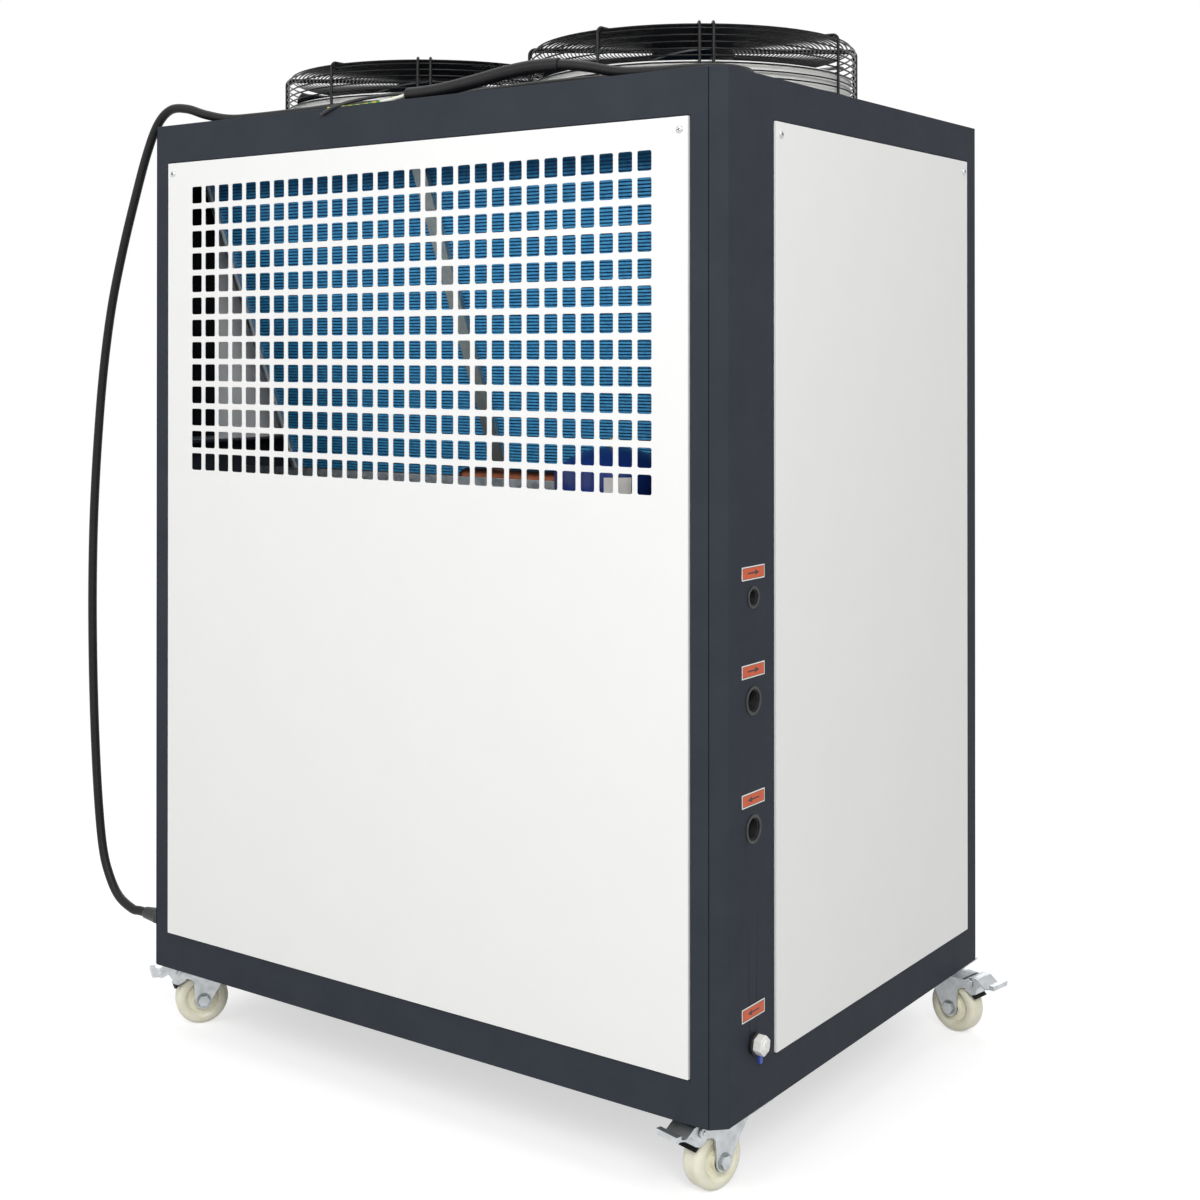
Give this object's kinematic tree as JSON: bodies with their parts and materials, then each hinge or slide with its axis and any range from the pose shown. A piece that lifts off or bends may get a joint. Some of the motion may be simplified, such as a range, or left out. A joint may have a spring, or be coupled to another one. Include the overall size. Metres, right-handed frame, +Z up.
{
  "type": "air cooled water chiller",
  "caption": "Box cabinet water chiller on braked swivel casters, with grilles over a V of finned coils, roof fans in wire guards, side water sockets and a power cable.",
  "frame": {"origin": "on the floor under the middle of the cabinet", "axes": "+Z up; -Y out of the grille face beside the water sockets; +X out of the face with the sockets"},
  "size_m": [1.2965, 0.7957, 1.5015],
  "materials": {
    "frame_paint": "dark blue-grey powder coat, fine texture",
    "panel_paint": "smooth white powder coat",
    "ring_paint": "white powder coat",
    "galvanised": "galvanised sheet",
    "fins": "blue hydrophilic fin coating",
    "tank_paint": "blue gloss paint",
    "copper": "drawn copper tube, slightly dull",
    "wire": "black powder coat on wire",
    "fan_black": "black paint on fan and motor",
    "fitting": "black pipe fitting",
    "cap_white": "white moulded cap",
    "zinc": "bright zinc plate",
    "nylon": "cream cast nylon",
    "cable": "black rubber sheath",
    "cores": "insulated cores, one white, one green and yellow, one black"
  },
  "bodies": {
    "cabinet": {"base_pan": "frame_paint", "front_frame": "frame_paint", "rear_frame": "frame_paint", "left_frame": "frame_paint", "right_frame": "frame_paint", "roof_deck": "frame_paint", "front_panel": "panel_paint", "rear_panel": "panel_paint", "left_panel": "panel_paint", "right_panel": "panel_paint", "side_rails": "frame_paint", "coil_tray": "galvanised", "front_coils": "fins", "rear_coils": "fins", "coil_end_plates": "galvanised", "receiver_tank": "tank_paint", "copper_header": "copper", "fan_ring_left": "ring_paint", "fan_ring_right": "ring_paint", "fan_guard_left": "wire", "fan_guard_right": "wire", "fan_cage_left": "wire", "fan_cage_right": "wire", "fan_motor_left": "fan_black", "fan_motor_right": "fan_black", "tap_inlet": "fitting", "water_inlet": "fitting", "water_outlet": "fitting", "drain_nipple": "fitting", "drain_cap": "cap_white", "caster_plates": "zinc", "cable_gland": "fitting", "power_cable": "cable", "cable_sleeve": "cable", "cable_cores": "cores"},
    "fan_left": {"fan_rotor_left": "fan_black"},
    "fan_right": {"fan_rotor_right": "fan_black"},
    "front_left_fork": {"front_left_fork": "zinc"},
    "front_left_wheel": {"front_left_wheel": "nylon"},
    "front_left_pedal": {"front_left_pedal": "zinc"},
    "front_right_fork": {"front_right_fork": "zinc"},
    "front_right_wheel": {"front_right_wheel": "nylon"},
    "front_right_pedal": {"front_right_pedal": "zinc"},
    "rear_left_fork": {"rear_left_fork": "zinc"},
    "rear_left_wheel": {"rear_left_wheel": "nylon"},
    "rear_left_pedal": {"rear_left_pedal": "zinc"},
    "rear_right_fork": {"rear_right_fork": "zinc"},
    "rear_right_wheel": {"rear_right_wheel": "nylon"},
    "rear_right_pedal": {"rear_right_pedal": "zinc"}
  },
  "joints": [
    {"name": "fan_spin_left", "type": "hinge", "parent": "cabinet", "child": "fan_left", "pos_m": [-0.25, -0.025, 1.448], "axis": [0, 0, 1], "continuous": true},
    {"name": "fan_spin_right", "type": "hinge", "parent": "cabinet", "child": "fan_right", "pos_m": [0.25, -0.025, 1.448], "axis": [0, 0, 1], "continuous": true},
    {"name": "front_left_swivel", "type": "hinge", "parent": "cabinet", "child": "front_left_fork", "pos_m": [-0.464, -0.292, 0.09], "axis": [0, 0, 1], "continuous": true},
    {"name": "front_left_roll", "type": "hinge", "parent": "front_left_fork", "child": "front_left_wheel", "pos_m": [-0.48078, -0.31687, 0.04], "axis": [0.829, -0.5592, 0], "continuous": true},
    {"name": "front_left_brake", "type": "hinge", "parent": "front_left_fork", "child": "front_left_pedal", "pos_m": [-0.49979, -0.34506, 0.085], "axis": [0.829, -0.5592, 0], "range_deg": [0, 12]},
    {"name": "front_right_swivel", "type": "hinge", "parent": "cabinet", "child": "front_right_fork", "pos_m": [0.474, -0.292, 0.09], "axis": [0, 0, 1], "continuous": true},
    {"name": "front_right_roll", "type": "hinge", "parent": "front_right_fork", "child": "front_right_wheel", "pos_m": [0.46674, -0.32111, 0.04], "axis": [0.9703, -0.2419, 0], "continuous": true},
    {"name": "front_right_brake", "type": "hinge", "parent": "front_right_fork", "child": "front_right_pedal", "pos_m": [0.45852, -0.3541, 0.085], "axis": [0.9703, -0.2419, 0], "range_deg": [0, 12]},
    {"name": "rear_left_swivel", "type": "hinge", "parent": "cabinet", "child": "rear_left_fork", "pos_m": [-0.464, 0.348, 0.09], "axis": [0, 0, 1], "continuous": true},
    {"name": "rear_left_roll", "type": "hinge", "parent": "rear_left_fork", "child": "rear_left_wheel", "pos_m": [-0.49298, 0.35576, 0.04], "axis": [-0.2588, -0.9659, 0], "continuous": true},
    {"name": "rear_left_brake", "type": "hinge", "parent": "rear_left_fork", "child": "rear_left_pedal", "pos_m": [-0.52582, 0.36456, 0.085], "axis": [-0.2588, -0.9659, 0], "range_deg": [0, 12]},
    {"name": "rear_right_swivel", "type": "hinge", "parent": "cabinet", "child": "rear_right_fork", "pos_m": [0.474, 0.348, 0.09], "axis": [0, 0, 1], "continuous": true},
    {"name": "rear_right_roll", "type": "hinge", "parent": "rear_right_fork", "child": "rear_right_wheel", "pos_m": [0.50354, 0.34279, 0.04], "axis": [0.1736, 0.9848, 0], "continuous": true},
    {"name": "rear_right_brake", "type": "hinge", "parent": "rear_right_fork", "child": "rear_right_pedal", "pos_m": [0.53703, 0.33689, 0.085], "axis": [0.1736, 0.9848, 0], "range_deg": [0, 12]}
  ]
}
